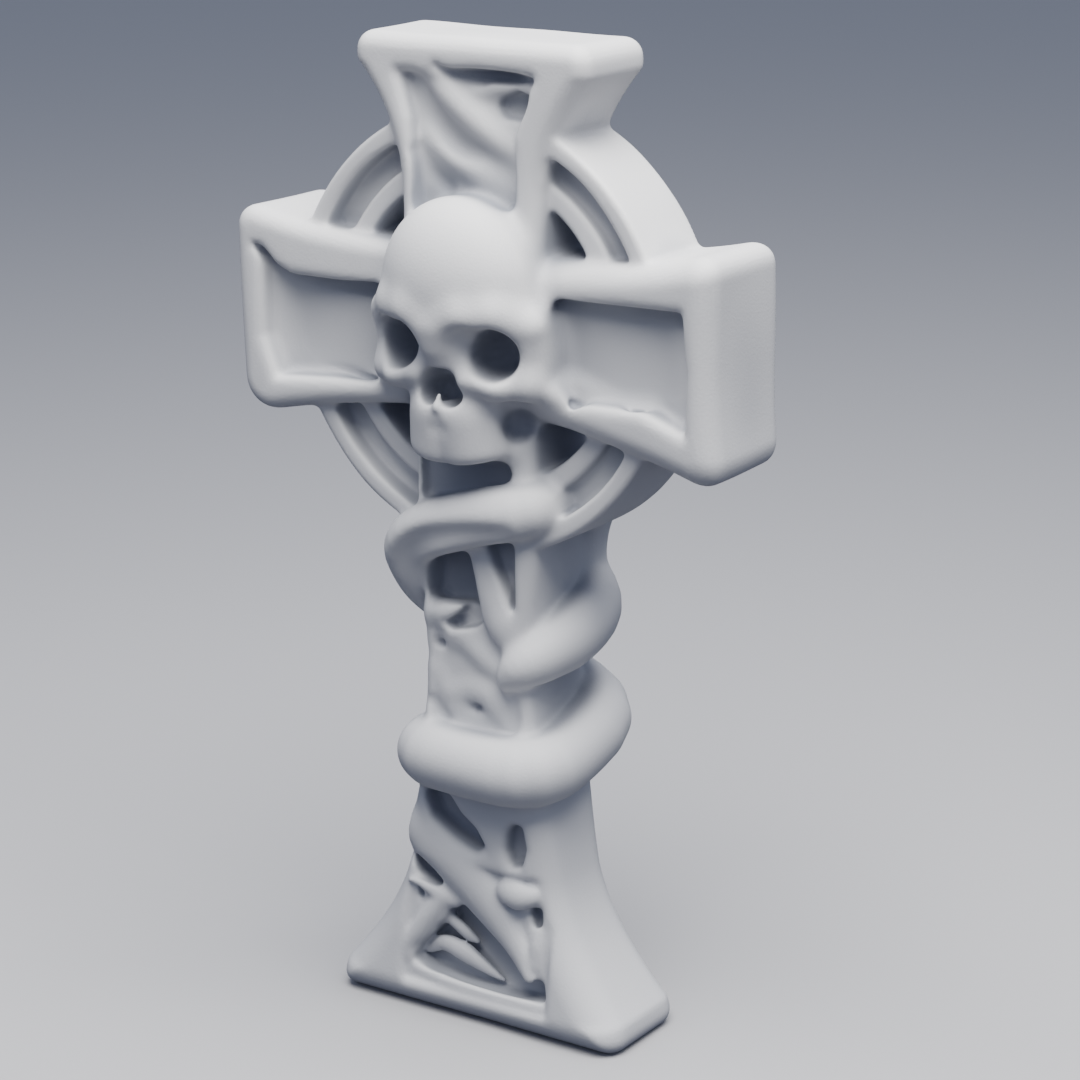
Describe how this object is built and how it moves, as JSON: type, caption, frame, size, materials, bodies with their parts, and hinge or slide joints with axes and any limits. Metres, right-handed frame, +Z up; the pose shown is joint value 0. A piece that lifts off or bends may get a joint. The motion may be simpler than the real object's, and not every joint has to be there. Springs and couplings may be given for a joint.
{
  "type": "ringed cross memorial",
  "caption": "Free-standing carved stone cross with a pierced ring at the crossing, a skull in high relief, a serpent wound round the shaft and sunk panels of carved straps.",
  "frame": {"origin": "middle of the flat underside, on the ground", "axes": "+Z up, -Y to the front where the skull is, +X to the viewer's right"},
  "size_m": [0.5, 0.2074, 0.9],
  "materials": {
    "stone": "smooth matt pale stone with soft rounded edges"
  },
  "bodies": {
    "root": {"ringed_cross": "stone"}
  },
  "joints": []
}
